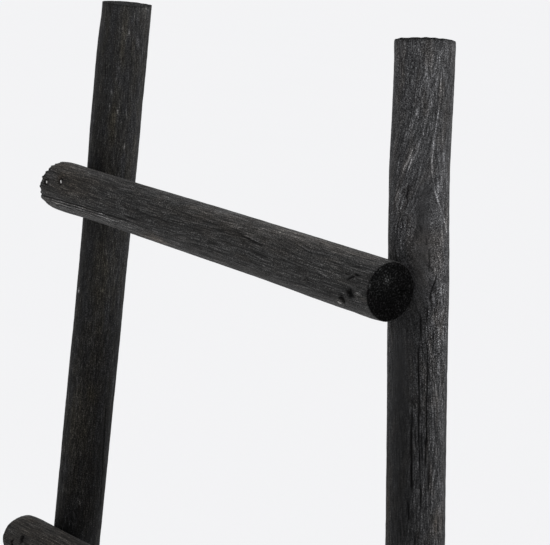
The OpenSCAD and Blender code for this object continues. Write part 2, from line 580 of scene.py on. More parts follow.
        # rings of points from each rim to the middle, with drying checks open across them
        wood, lay = self.wood, self.lay
        rows, columns = self.down.shape
        turns = self.turn * 2 * math.pi
        rng = np.random.default_rng(self.seed + 30)
        compass = np.stack([np.ones(columns), np.cos(np.radians(self.angles)), np.sin(np.radians(self.angles))], -1)
        for k, row in enumerate((0, rows - 1)):
            rim, place = skin[row], self.places[row]
            outward = lay["axis"] * (-1 if k == 0 else 1)
            middle = lay["start"] + lay["axis"] * place + lay["side"] * tableAt(wood["bends"], place)
            high = (rim - middle) @ outward
            plane = np.linalg.lstsq(compass, high, rcond=None)[0]
            middle = middle + outward * plane[0]
            ragged = high - compass @ plane
            checks = [(rng.uniform(0, 360), rng.uniform(0.1, 0.5), rng.uniform(0.5, 1.0))
                      for n in range(wood["checks"])]
            fray = np.clip(streaks(self.seed + 8 + k, 90, 3)(self.angles / 360, np.full(columns, 0.5)), 0, 1)
            previous = row * columns + np.arange(columns)
            for s in sawnEnd["rings"]:
                ring = middle + (rim - middle) * s
                sunk, light = self.endRing(k, s, (ring - middle) @ lay["side"], checks, fray)
                here = mesh["count"] + np.arange(columns)
                mesh["spots"].append(ring - outward * (ragged * s * (1 - s ** 4) + sunk * (1 - s ** 12))[:, None])
                mesh["grain"].append(roundPole(lay["radius"] * s, turns[row], np.full(columns, k * lay["length"])))
                mesh["light"].append(light)
                mesh["count"] += columns
                band = np.stack([previous, here, np.roll(here, -1), np.roll(previous, -1)], -1)
                mesh["quads"].append(band[:, ::-1] if k == 0 else band)
                previous = here
            fan = np.stack([previous, np.full(columns, mesh["count"]), np.roll(previous, -1)], -1)
            mesh["fans"].append(fan[:, ::-1] if k == 0 else fan)
            mesh["spots"].append((middle - outward * 0.2)[None])
            mesh["grain"].append(np.array([[0.0, 0.0, k * lay["length"]]]))
            mesh["light"].append(np.full(1, wood["endLight"][k]))
            mesh["count"] += 1

    def build(self):
        wood, lay = self.wood, self.lay
        self.cutCracks(wood["cracks"])
        self.rubLines(wood["rubs"])
        self.weather()
        self.comb()
        self.shade()
        self.sawEnds()
        skin = self.spotsOf()
        rows, columns = self.down.shape
        grid = np.arange(rows * columns).reshape(rows, columns)
        beside = np.roll(grid, -1, axis=1)
        quads = np.stack([grid[:-1], grid[1:], beside[1:], beside[:-1]], -1).reshape(-1, 4)
        grain = roundPole(lay["radius"], self.turn * 2 * math.pi, self.down)
        parts = {"spots": [skin.reshape(-1, 3)], "grain": [grain.reshape(-1, 3)], "light": [self.light.ravel()],
                 "quads": [quads], "fans": [], "count": rows * columns}
        self.closeEnds(skin, parts)
        spots, light = np.concatenate(parts["spots"]), np.concatenate(parts["light"])
        for rung in wood["saddles"]:
            spots = seatRung(spots, rung)
        spots, stainAndDentShade = sinkNails(spots, lay, wood["nails"], self.seed)
        low, high = (np.array(corner) / mm for corner in cadBox)
        faces = np.concatenate(parts["quads"]).tolist() + np.concatenate(parts["fans"]).tolist()
        pole = newPiece(self.name, (np.clip(spots, low, high) * mm).tolist(), faces, [wood["skin"], wood["ends"]])
        mesh = pole.data
        onEnds = np.ones(len(faces), np.int32)
        onEnds[:len(quads)] = 0
        mesh.polygons.foreach_set("material_index", onEnds)
        place = mesh.attributes.new("grainPlace", "FLOAT_VECTOR", "POINT")
        place.data.foreach_set("vector", (np.concatenate(parts["grain"]) * mm).astype(np.float32).ravel())
        markPoints(mesh, "lightness", light - stainAndDentShade)
        for key, values, atEnds in (("brownness", np.clip(self.brown, 0, 1), 0.0),
                                    ("liveliness", self.live, 1.0), ("dustiness", self.dust, 1.0)):
            markPoints(mesh, key, np.append(values.ravel(), np.full(parts["count"] - grid.size, atEnds)))
        self.unroll(mesh, len(quads))
        print(self.name, len(faces), "faces")
        return pole

    def unroll(self, mesh, quadCount):
        # the skin lies flat in lengthwise strips side by side, with the two ends above them
        rows, columns = self.down.shape
        length, skin, radius = self.lay["length"], self.around, self.lay["radius"]
        strips = max(1, round(math.sqrt(length / skin)))
        cutRows = np.searchsorted(self.places, [length * k / strips for k in range(1, strips)])
        side = max(strips * (skin + 4), length / strips + 2 * radius + 16)
        row, column = np.repeat(np.arange(rows - 1), columns), np.tile(np.arange(columns), rows - 1)
        strip = np.searchsorted(cutRows, row, side="right")
        left, low = strip * (skin + 4), self.places[np.concatenate([[0], cutRows])][strip]
        rounds = (np.append(self.angles, self.angles[0] + 360) - self.angles[0]) * self.arc
        corners = [(0, 0), (1, 0), (1, 1), (0, 1)]
        uv = np.zeros((len(mesh.loops), 2))
        skinUv, endUv = uv[:quadCount * 4], uv[quadCount * 4:]
        skinUv[:, 0] = np.stack([rounds[column + c] + left + 2 for r, c in corners], -1).ravel()
        skinUv[:, 1] = np.stack([self.places[row + r] - low + 2 for r, c in corners], -1).ravel()
        corner = np.empty(len(mesh.loops), np.int32)
        mesh.loops.foreach_get("vertex_index", corner)
        flat = np.empty(len(mesh.vertices) * 3, np.float32)
        mesh.attributes["grainPlace"].data.foreach_get("vector", flat)
        flat = flat.reshape(-1, 3)[corner[quadCount * 4:]] / mm
        endUv[:, 0] = flat[:, 0] + radius + 4 + np.where(flat[:, 2] > length / 2, 2 * radius + 8, 0)
        endUv[:, 1] = flat[:, 1] + side - radius - 3
        mesh.uv_layers.new(name="OFBake").data.foreach_set("uv", (uv / side).astype(np.float32).ravel())


def seatRung(spots, rung):
    # a round saddle: skin that would lie inside the rung is pushed back on to it
    room = rung["radius"] + ladder["saddleGap"]
    apart = spots - rung["start"]
    apart -= (apart @ rung["axis"])[:, None] * rung["axis"]
    rest = apart[:, 0] ** 2 + apart[:, 2] ** 2
    inside = apart[:, 1] ** 2 + rest < room ** 2
    spots = spots.copy()
    spots[inside, 1] += np.sqrt(room ** 2 - rest[inside]) - apart[inside, 1]
    return spots


# Round a driven nail in mm: the dented lip's radius, how wide its edge is, and how deep it is pressed; then how far
# the dent reaches, and how many doublings darker it is, partly for stain and partly as painted shade in the recess
bruise = {"lip": 3.1, "edge": 1.2, "depth": 2.0, "reach": 7, "dark": 1.8}


def sinkNails(spots, lay, nails, seed):
    # the hammer drove each head a little below the surface and dented the wood round it; the dent is painted darker,
    # partly for stain and partly as the shade in the recess
    rng = np.random.default_rng(seed + 40)
    apart = spots - lay["start"]
    along, up = apart @ lay["axis"], apart @ lay["side"]
    spots, stainAndDentShade = spots.copy(), np.zeros(len(spots))
    for nailAlong, nailUp in nails:
        x, z = along - nailAlong, up - nailUp
        off, lean = np.hypot(x, z), np.arctan2(z, x)
        lip = bruise["lip"] + 0.4 * np.sin(lean * 2 + rng.uniform(0, 6)) + 0.3 * np.sin(lean * 5 + rng.uniform(0, 6))
        hit = (apart[:, 1] < 0) & (off < bruise["reach"])
        sunk = ease(np.clip((lip + bruise["edge"] / 2 - off) / bruise["edge"], 0, 1))
        surface = lay["start"][1] - np.sqrt(np.maximum(lay["radius"] ** 2 - up ** 2, 0))
        spots[hit, 1] = np.maximum(spots[hit, 1], (surface + bruise["depth"] * sunk)[hit])
        # darker in the dent and along its lip: partly stain, partly painted shade in the recess
        stainAndDentShade[hit] += (bruise["dark"] * sunk + 0.5 * np.exp(-((off - lip) / 1.5) ** 2))[hit]
    return spots, stainAndDentShade


# The photograph shows the upper part of the right stile, grey and worn above the rung and blacker below it.
# Places are mm down from the top and degrees from the front towards +X. A line has a width in mm, a depth in mm or
# a strength in doublings, and then each place that it runs through. A patch has its place, its reach along in mm
# and round in degrees, and its strength. A look's cells are noise cells to a metre, across and along.
stileLook = {
    "grey": (0.0190, 0.0190, 0.0195), "brown": (0.0240, 0.0190, 0.0140), "warmth": 0.0, "mottle": 0.9,
    "fibres": 7.0, "specks": 10.5, "strands": 0.4, "clouds": 0.35, "splinters": 0.2, "splintersFrom": 0.62,
    "cellsAlong": 100, "fibreCells": 1100, "speckCells": 1200, "strandCells": 300, "cloudCells": 110,
    "tintCells": (150, 40), "splinterCells": (620, 60),
    "roughness": 0.65, "shine": 0.05, "relief": 1.0, "reliefDepth": 0.0006,
}
leftLook = {
    **stileLook, "grey": (0.0155, 0.0155, 0.0160), "brown": (0.0205, 0.0182, 0.0134), "warmth": 0.12,
    "mottle": 1.2, "fibres": 4.0, "specks": 7.6, "strands": 1.0, "splinters": 0.6,
}
endLook = {
    "black": (0.0015, 0.0015, 0.0015), "pores": 4.0, "rings": 0.2, "specks": 3.3, "specksFrom": 0.48,
    "poreCells": 1100, "wanderCells": 90, "speckCells": 650, "ringTurns": 3100.0, "ringWander": 16.0,
    "roughness": 0.85, "shine": 0.02, "relief": 0.8, "reliefDepth": 0.0006,
}
rightWood = stainedWood("grey_worn_stain", stileLook)
leftWood = stainedWood("deep_black_stain", leftLook)
endWood = sawnEndGrain("black_end_grain", endLook)

footRise = 1.97         # how far a foot cut level stands proud of square, in mm
nearCrossings = [(at - 22, at + 22, 1.8) for at in (rungDrop(i) / cosineOf(ladder["splay"]) for i in rungNumbers)]


def levelFoot(side):
    return [(angle, side * footRise * sineOf(angle)) for angle in range(0, 361, 30)]


plainPole = {
    "ends": endWood, "endPatches": ([], []), "frayed": (0.0, 0.0), "checks": 3, "drawnOut": 1.0, "speckDepth": 0.2,
    "dustAlong": [(0, 1.0)], "bends": [(0, 0.0)], "saddles": [], "nails": [],
    **{marks: [] for marks in ("knots", "sweeps", "combed", "cracks", "rubs", "calm", "pale", "brown", "lumps")},
}
plainStile = {
    **plainPole, "step": 6.5, "stepRound": 1.4, "swellDepth": 0.3, "teeth": 3.6,
    "saddles": [layRung(i) for i in rungNumbers],
}
rightStile = {
    **plainStile, "seed": 210, "skin": rightWood, "endLight": (0.8, 0.0),
    "fineAlong": [(0, 390, 1.3)] + nearCrossings, "fineRound": (-42, 148, 0.66),
    "drift": 4.0, "speckDepth": 0.22, "fibreDepth": 0.24, "strandDepth": 0.32, "contrast": 0.48,
    "bends": [(0, 2.2), (7, 2.1), (29, 1.3), (60, -0.3), (95, -2), (138, -2), (213, -0.4), (267, 0.2), (310, 0.7),
              (367, 1.5), (600, 2.5), (1100, 1), (1500, -1), (1757, -1)],
    "knots": [(150, 85, (62, 44), 60, 0.42), (700, 250, 45, 35, 0.6), (1180, 40, 50, 40, 0.7),
              (1450, 160, 40, 30, 0.6)],
    "sweeps": [(145, -5, (70, 46), 70, 22)],
    # mm from and to, degrees from and to, degrees to a mm, how many, how strong
    "combed": [(4, 150, -32, 52, -1, 150, 0.45), (4, 150, 48, 78, -0.3, 60, 0.3), (4, 110, 74, 135, 0.05, 90, 0.3),
               (110, 190, 78, 140, 0.5, 60, 0.2), (200, 372, -35, 138, 0.02, 170, 0.4)],
    "toneDrift": 0.15,
    # it darkens from the top down to about 370 mm: partly the stain's own tone, partly painted shade where the light
    # falls off downwards; lower down it only varies
    "toneAlong": [(0, 1.25), (90, 1.4), (125, 1.05), (160, 0.95), (205, 0.4), (240, 0.35), (300, 0.45), (330, 0.4),
                  (365, 0.15), (600, 0.2), (760, 0.5), (900, -0.2), (1200, -0.5), (1500, 0.3), (1757, 0.1)],
    "dustAlong": [(0, 1.08), (110, 1.08), (135, 1.28), (225, 1.28), (260, 0.85), (300, 0.75), (1757, 0.75)],
    "torn": (0.8, 0.3),
    # how far the saw cut stands proud of square, by angle
    "cuts": ([(0, -0.2), (52, 0.2), (100, -0.4), (142, -1.4), (165, 0.6), (205, 2), (245, 2.5), (300, 1.2),
              (330, 0), (360, -0.2)],
             levelFoot(1)),
    "strayCracks": 90, "strayRubs": 200, "drawnSide": (375, -40, 145),
    "cracks": [
        (0.5, 0.6, 46, 27.1, 52, 35.4), (0.5, 0.6, 66, 51.1, 74, 57.1), (0.6, 0.5, 37, 91, 41, 92),
        (0.6, 0.8, 104, 32.1, 112, 31.3, 123, 29.1), (0.6, 0.6, 131, 18.9, 142, 25.9),
        (0.6, 0.8, 145, 68.2, 151, 68.5), (0.6, 1, 152, 73.5, 169, 74.4), (0.6, 0.8, 161, 95.2, 170, 95.7),
        (0.7, 0.6, 137, 56.8, 140, 57.6), (0.6, 1.3, 199.6, 58.2, 222, 59.2), (0.6, 1, 198, 70.1, 205.5, 70.5),
        (0.6, 1.2, 172, 92, 184, 80, 192, 74), (0.5, 1.5, 224, 71.9, 254, 73.5, 268, 71.8, 290, 72.2, 316, 70.5),
        (0.5, 1.6, 222, 54.5, 243, 55.2, 260, 57, 282, 56.5, 300, 58, 322, 60), (0.55, 1, 215, 83.2, 226, 83.8),
        (0.5, 0.8, 227, 95.8, 233, 96.3), (0.5, 0.8, 248, 94.5, 255, 94.9), (0.5, 0.8, 265, 43.3, 270, 49.4),
        (0.6, 1.2, 274, 43, 287, 43.6), (0.7, 1.7, 284, 42.1, 310, 43.5, 335, 44.6),
        (0.5, 0.9, 289, 50.3, 299, 50.8), (0.6, 1.2, 287, 62.5, 312, 63.7), (0.5, 0.9, 302, 76, 307, 76.3),
        (0.6, 1.3, 311, 79.6, 319, 76.9, 335, 77.8), (0.65, 1.3, 327, 60, 335, 62.3, 344, 61.6),
        (0.7, 1.5, 338, 35.9, 347, 38.2, 356, 39.6), (0.6, 0.8, 349, 47.9, 353, 48), (0.6, 1, 361, 51.5, 373, 52),
        (0.6, 0.9, 316, 97.1, 325, 97.8), (1, 1, 353, 101, 374, 102.6),
    ],
    "rubs": [
        (0.55, 0.9, 30, 51.4, 40, 46, 46, 44), (0.7, 1.3, 50, 44.5, 56, 42), (0.8, 1, 58, 35, 62, 35.8),
        (0.8, 0.8, 67, 26, 71, 26.5), (0.5, 0.9, 70, 56.9, 77, 47.9), (0.8, 0.8, 33, 86.8, 46, 87.6),
        (0.7, 0.5, 25, 75.7, 49, 77), (0.65, 1.7, 48, 86.6, 63, 81.5, 79, 76.6, 92, 76.3, 99, 78.9, 106, 81.5),
        (0.75, 1.5, 98, 78.5, 109, 83, 119, 92.3, 133, 110.9, 144, 122),
        (0.5, 0.5, 81, 83, 92, 85, 102, 91.2, 110, 96.8, 118, 103),
        (0.5, 0.7, 60, 100.6, 76, 100.5, 96, 107.4, 110, 116.3), (0.7, 0.9, 34, 85.8, 42, 86.2),
        (0.6, 0.9, 52, 43, 65, 34.1, 74, 22.3, 81, 13.7), (0.6, 0.9, 71, 51.3, 81, 42.5, 93, 31.5),
        (0.6, 0.6, 33, 75.1, 48, 69, 62, 64), (0.7, 0.5, 4, 60.2, 23, 60.1, 39, 57.2),
        (0.5, 0.8, 35, 69.6, 49.5, 64.4, 66, 57.6, 80, 48.3, 91, 38),
        (0.5, 0.8, 40, 50.3, 54, 41.6, 63, 30.2, 75, 18), (0.5, 0.7, 10, 59, 27, 53.4, 44, 45.9, 54, 40.3),
        (0.5, 0.7, 20, 38.3, 36, 24.6, 49, 8), (0.5, 0.7, 9.8, 82, 29.6, 80.5, 49.4, 77.7, 63.5, 75.8),
        (0.5, 0.6, 10.6, 25.4, 24, 14, 36, 2), (0.7, 1.4, 88, 11, 92, 8), (0.7, 2.4, 82, 36, 96, 23),
        (0.6, 2.1, 85, 40, 98, 29), (0.6, 2.1, 87, 31, 98, 19), (0.7, 2.2, 110, 13, 118, 3),
        (0.7, 2.2, 113, 19, 122, 8), (0.6, 2, 117, 25, 125, 15), (0.6, 1.9, 107, 23, 114, 13),
        (0.7, 0.7, 125, -6, 130, -12), (0.5, 0.9, 156, 100.2, 169, 101.2), (0.45, 0.9, 153, 71.9, 165, 72.6),
        (0.6, 0.9, 133, 76, 141, 79), (1.2, 0.9, 208, -28.9, 234, -12), (0.5, 1, 274, 51.1, 287, 51.7),
        (0.6, 1.2, 252, 75.8, 258, 76.1), (0.6, 1, 198, 73.5, 206, 73.8), (0.8, 1, 213, 98, 217, 98),
        (0.8, 0.9, 236, 100.8, 242, 100.8), (0.7, 0.9, 254, 91, 260, 91), (0.7, 0.9, 319, 90.9, 324, 90.9),
        (0.7, 0.9, 326, 105, 331, 105),
    ],
    "calm": [(232, 18, 36, 28, 0.55), (310, 16, 100, 30, 0.6), (120, 60, 30, 16, 0.4), (160, 62, 36, 22, 0.4),
             (195, 55, 40, 20, 0.3)],
    # among these patches, the paler ones towards +X (angles 92 to 112) and the darker ones round the front (angles 8
    # to 30) are partly painted light from the right and partly the wood's tone; (340, 22, ...) is partly painted
    # shade under the rung; (183, 60, ...) and (203, 46, ...) are the painted shadow of the rung's end on the stile;
    # the rest are the wood's own tone
    "pale": [
        (167, 92, 24, 22, 0.2), (200, 104, 22, 18, 0.4), (280, 112, 90, 20, 0.5), (360, 104, 16, 16, 0.9),
        (250, 30, 60, 24, -0.25), (154, 8, 14, 24, -0.35), (115, 98, 40, 16, 0.3), (150, 77, 20, 14, 0.3),
        (183, 60, 24, 10, -0.3), (60, 8, 70, 26, -0.8), (30, 70, 24, 20, 0.2), (170, 45, 16, 14, -0.8),
        (340, 22, 130, 24, -1.25), (290, 105, 120, 24, 0.55), (145, 108, 50, 22, 0.5), (232, 28, 30, 20, 0.35),
        (318, 50, 30, 24, 0.3), (132, 94, 18, 10, -0.35), (152, 34, 12, 10, 0.35), (203, 46, 20, 16, -0.8),
        (160, 58, 22, 30, 0.4),
    ],
    "brown": [(358, 100, 14, 12, 0.35), (345, -20, 40, 20, 0.4)],
    "lumps": [(3, -34, 8, 30, 0.5), (70, 142, 400, 40, 0.55), (178, 142, 48, 32, 0.8), (330, 52, 3, 8, -0.4),
              (230, -30, 40, 30, 0.3)],
}
leftStile = {
    **plainStile, "seed": 510, "skin": leftWood, "endLight": (2.6, 0.0), "checks": 2,
    "fineAlong": [(0, 540, 1.8)] + nearCrossings, "fineRound": (-38, 150, 0.66),
    "drift": 4.5, "fibreDepth": 0.25, "strandDepth": 0.45, "contrast": 0.6,
    "bends": [(0, 0.3), (300, 0.3), (700, -1.2), (1200, 1.2), (1757, 0)],
    "knots": [(640, 120, 45, 40, 0.6), (1010, 300, 50, 35, 0.7), (1370, 60, 45, 35, 0.6)],
    "combed": [(2, 540, -30, 140, 0.02, 240, 0.4)],
    "toneDrift": 0.25,
    # it darkens from the top down to about 470 mm: partly the stain's own tone, partly painted shade where the light
    # falls off downwards; lower down it only varies
    "toneAlong": [(0, 0.9), (50, 0.6), (100, 0.4), (145, 0.35), (240, 0.3), (280, -0.1), (340, -0.65), (400, -0.6),
                  (470, -0.85), (600, 0.1), (800, 0.6), (1050, 0.1), (1300, 0.8), (1600, 0.4), (1757, 0.6)],
    "torn": (0.5, 0.3),
    "cuts": ([(0, -0.2), (90, 0.3), (142, 0.2), (175, -0.6), (220, -1.2), (270, -1.7), (326, -0.9), (360, -0.2)],
             levelFoot(-1)),
    "strayCracks": 110, "strayRubs": 240, "drawnSide": (560, 10, 148),
    "cracks": [
        (0.7, 0.8, 2.8, 19.7, 9, 21.6), (0.6, 0.8, 54, 20.1, 69, 24.7), (0.7, 1, 375, 104, 430, 112, 485, 121),
    ],
    "rubs": [
        (0.7, 0.7, 18, 56, 36, 67.6), (0.5, 0.6, 20, 62, 34, 70), (0.7, 1.4, 24, 71.9, 25, 72),
        (0.8, 1.6, 2, 112, 3.5, 120), (0.7, 1.6, 92, 43, 93, 43), (1.2, 0.8, 28, 95, 33, 95),
        (0.8, 1.9, 79, 43.9, 80.5, 44), (0.8, 2.4, 96, 62.3, 97.5, 62.5), (0.6, 1, 68, 51.3, 70, 51.5),
        (0.6, 1, 56, 55.9, 58, 56), (0.7, 1.7, 128, 86, 130, 86), (0.8, 0.7, 98, 57, 109, 59.6),
        (0.8, 2, 228, 66.6, 230, 66.6), (0.6, 1.2, 241, 66.4, 242, 66.4), (0.6, 1, 258, 47.4, 260, 47.4),
        (0.8, 2, 265, 67, 266, 67), (0.6, 1.1, 275, 58.4, 276, 58.4), (0.6, 1.2, 270, 83.8, 271, 83.8),
        (1.2, 4.2, 269, -2.5, 271.5, -2.5), (0.8, 0.8, 246, 132, 262, 138), (0.8, 0.7, 319, 112, 368, 125),
        (0.8, 1.2, 373, 73.9, 374, 74), (0.7, 1.3, 388, 38.4, 389.5, 38.4), (0.7, 1.3, 412, 3.4, 413.5, 3.4),
        (0.7, 1.3, 420.5, 33, 422, 33), (0.7, 1.3, 424, 49.4, 425.5, 49.4), (0.7, 1.3, 428.5, 90, 430, 90),
        (0.9, 1.5, 461.5, 65, 463.5, 65), (0.7, 1.5, 470, 55, 471.5, 55), (0.7, 1.3, 473.5, 60.6, 475, 60.6),
        (0.6, 1.1, 401, 56, 402.5, 56), (0.6, 1.1, 442.5, 33, 444, 33),
    ],
    # among these patches, the paler ones towards +X (angles 116 to 118) and the darker ones round the front (angles
    # -12 to 22) and low down (440 to 505 mm) are partly painted light and shade and partly the wood's own tone
    "pale": [(90, 22, 120, 22, -0.2), (110, 12, 120, 24, -0.4), (60, -12, 40, 14, -0.4), (255, 22, 60, 26, -0.5),
             (372, 25, 30, 34, 0.6), (440, 90, 60, 30, -1.1), (80, 116, 100, 22, 0.6), (455, 5, 60, 20, 0.35),
             (455, 48, 60, 14, -0.45), (505, 45, 20, 30, -0.4), (128, -8, 26, 8, 0.5), (262, 118, 30, 14, 0.4)],
    "brown": [(32, 60, 16, 7, 0.45), (104, 52, 12, 8, 0.45), (130, 50, 30, 12, 0.2), (250, 60, 90, 18, 0.4),
              (400, 40, 60, 34, 0.5), (366, 66, 9, 10, 0.5)],
    "lumps": [(50, -34, 40, 40, 0.9), (112, -30, 34, 34, 0.9), (12, -34, 14, 34, -0.6), (250, -34, 80, 40, -0.6),
              (200, 142, 500, 40, 1.2)],
}

for name, node, side, wood in (("right_stile_wood", "right_stile", 1, rightStile),
                               ("left_stile_wood", "left_stile", -1, leftStile)):
    stile = Pole(name, layStile(side), wood).build()
    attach(stile, "root")
    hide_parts(node)
print("stiles are built")

nail = {
    # radius and depth in mm, down the dished head to its neck, and radius and what is left of the length at the tip
    "head": [(0.12, 0.2), (0.4, 0.19), (0.75, 0.13), (1.15, 0.06), (1.5, 0.03), (1.8, 0.06), (2.02, 0.16),
             (2.15, 0.32), (2.2, 0.55), (2.2, 0.85), (2.1, 1.05), (1.75, 1.8)],
    "tip": [(0.8, 2.1), (0.3, 0.4), (0.1, 0.0)],
    "headRadius": 2.2, "neck": 2.2, "shankRadius": 1.5, "length": 65.0, "point": 5.0, "sink": 0.8, "around": 32,
    # shares of the stile's radius along the rung and of the rung's radius upwards, from each crossing
    "left": [[(0.59, 0.35), (-0.51, 0.17)], [(0, 0.35), (-0.72, 0.02)], [(0.42, -0.18), (-0.38, 0.26)],
             [(0.3, 0.3), (-0.56, -0.06)], [(0.55, 0.06), (-0.24, 0.34)]],
    "right": [[(-0.19, -0.22), (-0.74, -0.5)], [(0.36, 0.28), (-0.44, -0.12)], [(0.5, 0.1), (-0.3, -0.3)],
              [(0.2, -0.24), (-0.52, 0.16)], [(0.46, 0.32), (-0.4, 0.04)]],
    # mm driven deeper than the rest, then where the head is rubbed bright, across it and up it as shares of its
    # radius, how wide that patch is, and how bright: first the heads that the photograph shows, then any other
    "shown": {
        (1, -1): [(0.2, -0.1, 0.1, 0.6, 1.0), (0.1, -0.4, 0.0, 0.45, 1.1)],
        (1, 1): [(2.4, 0.0, 0.0, 0.3, 0.0), (2.4, 0.0, 0.0, 0.3, 0.0)],
        (2, -1): [(2.4, 0.0, 0.0, 0.3, 0.0), (0.9, 0.0, 0.0, 0.3, 0.0)],
    },
    "other": [(0, 0.6), (-0.5, 0.5), (-0.5, 0.5), (0.3, 0.6), (0.4, 1.0)],
    # a dent lies across and up from the middle, and has a width and a depth
    "dents": 5, "dent": [(-1.4, 1.4), (-1.4, 1.4), (0.5, 1.0), (0.08, 0.2)], "lean": 0.06,
}


def nailSpots(i, side):
    # along the rung from its left end, and up from its axis
    crossing = layRung(i)["crossings"][side]
    places = nail["left" if side < 0 else "right"][i - 1]
    return [(crossing + along * ladder["stileRadius"], up * ladder["rungRadius"]) for along, up in places]


rungLook = {
    **stileLook, "grey": (0.0190, 0.0187, 0.0184), "brown": (0.0225, 0.0187, 0.0150), "cellsAlong": 42,
    "fibres": 6.6, "specks": 8.0, "strands": 0.6, "clouds": 0.2,
}
rungWood = stainedWood("warm_black_stain", rungLook)
square = [(0, 0.0)]
plainRung = {
    **plainPole, "skin": rungWood, "endLight": (0.0, 0.0), "frayed": (1.5, 1.5), "drawnOut": 2.4,
    "step": 4.0, "stepRound": 1.5, "fineRound": (-75, 110, 0.85),
    "drift": 3.0, "fibreDepth": 0.22, "strandDepth": 0.35, "swellDepth": 0.25, "contrast": 0.27,
    "toneAlong": [(0, -0.2), (200, 0), (400, -0.1), (700, 0.1)],
    "toneDrift": 0.3, "dustAlong": [(0, 1.05)], "torn": (0.8, 0.8), "teeth": 3.5, "cuts": (square, square),
    "strayCracks": 30, "strayRubs": 90, "drawnSide": (0, 0, 0),
}
topRung = {
    "step": 1.4, "stepRound": 1.3, "fineRound": (-85, 112, 0.7), "drawnSide": (508, -80, 110),
    "knots": [(425, 60, 26, 24, 0.5)],
    "dustAlong": [(0, 1.3), (180, 1.3), (260, 1.1), (508, 1.1)],
    "toneAlong": [(0, 0.03), (130, -0.08), (215, 0.08), (300, 0.25), (440, 0.25), (508, 0.25)],
    "toneDrift": 0.15, "torn": (3.2, 0.6), "teeth": 1.9, "frayed": (2.0, 3.6), "strayCracks": 10,
    # angle, way out from the middle and reach as shares of the radius, and how pale
    "endPatches": ([], [(66, 0.42, 0.14, 2.4), (50, 0.6, 0.5, 1.0), (270, 0.6, 0.6, -0.7), (16, 0.96, 0.07, 3.4)]),
    "cuts": ([(0, 5.4), (8, 4.4), (20, 3.6), (31, 1.2), (38, 1.4), (45, 1.7), (52, 1.4), (67, 0.4), (80, -0.4),
              (95, -0.4), (270, 2), (290, 4.6), (310, 6.4), (325, 7), (336, 6), (348, 4.6), (360, 5.4)],
             square),
    "cracks": [
        (0.65, 1.3, 2, -28, 35, -24, 73, -21.6, 110, -20.8, 137, -19.3, 163, -18.2),
        (0.55, 0.9, 8, -34, 60, -29, 120, -26), (0.55, 0.8, 20, -41, 70, -36, 140, -33),
        (0.5, 0.6, 60, -15, 130, -13), (0.5, 0.6, 190, -30, 260, -28), (0.5, 0.6, 150, 12, 230, 10),
        (0.5, 0.5, 250, 38, 330, 34), (0.5, 0.6, 300, 8, 380, 5), (0.7, 1.1, 154, -8.3, 174, -8.3),
        (0.6, 0.6, 209, -17.9, 226, -16.5), (0.6, 0.7, 297, 27.8, 311, 27.6), (0.6, 0.8, 288, -5.2, 303, -4.5),
        (0.6, 0.8, 293, -18.2, 308, -19.7), (0.7, 1.1, 328, 34, 360, 24.9, 370, 25.4),
        (0.9, 1.4, 482, 13, 486, 18.8, 490, 26.6, 495, 25.9), (0.7, 1, 478, 23, 483, 24),
        (0.8, 0.9, 431, -13, 433, -14), (0.8, 0.8, 432, -20, 434, -20), (0.9, 0.9, 22, -45, 25, -46),
        (0.8, 0.7, 425, 72, 428, 73), (1.1, 1.8, 482, -11, 485, -12.5, 489, -15, 491.5, -17),
        (0.9, 1.2, 472, -30.7, 477, -34.9), (0.9, 1.3, 476, -27, 475, -35, 473.6, -41),
        (0.8, 1.4, 11.6, 15.5, 12.9, 10, 13.2, 5),
    ],
    "rubs": [
        (0.6, 1.1, 4, -31, 60, -25.5, 110, -23.4, 160, -21.2), (0.6, 0.8, 14, -38, 70, -33, 150, -30),
        (0.5, 0.8, 154, -12, 174, -12), (0.5, 0.7, 328, 38, 360, 28.5), (0.6, 1, 404, 6.6, 417, 6.5),
        (0.6, 1.5, 446, 9, 459, 3.8), (0.7, 1.2, 447, 24.9, 448, 25), (0.9, 2.4, 494, -7.9, 501, -5.9),
        (1.2, 3.2, 465.5, -46, 468, -46), (0.6, 1, 20, -36, 26, -39), (0.8, 0.4, 11, 64.6, 50, 63),
    ],
    # the long pale bands along the underside (angles -30 to -60) are painted light bounced up from the floor, and
    # those along the top (angles 68 to 97) painted rim light from above; the others are the wood's own tone
    "pale": [
        (445, 6, 40, 10, -0.35), (18, -45, 24, 20, 0.6), (30, 60, 40, 30, 0.25), (120, 44, 90, 22, -0.35),
        (110, -58, 130, 24, 1.1), (230, -58, 70, 20, 0.9), (380, -60, 90, 18, 0.7), (480, -60, 60, 20, 0.5),
        (420, 84, 110, 24, 0.9), (270, 95, 60, 22, 0.5), (60, 90, 60, 22, 0.7), (230, 74, 330, 24, 0.7),
        (350, 68, 110, 26, 0.5), (120, -30, 130, 14, 0.8),
    ],
    "brown": [(31, 33, 5, 9, 1), (300, 45, 110, 30, 0.3), (425, 80, 60, 25, 0.3), (196, -46, 20, 16, 0.5),
              (55, 30, 40, 36, 0.7), (20, 70, 20, 20, 0.4)],
    "lumps": [(250, -90, 500, 40, 0.5), (186, 70, 4, 20, -0.3), (330, 88, 170, 34, 0.4), (0, 88, 6, 30, -0.2),
              (12, 66, 12, 26, 0.7), (24, 84, 16, 28, 0.35), (18, -77, 34, 36, 1.3), (450, -77, 70, 36, 1.1),
              (492, -80, 14, 30, 0.6)],
}
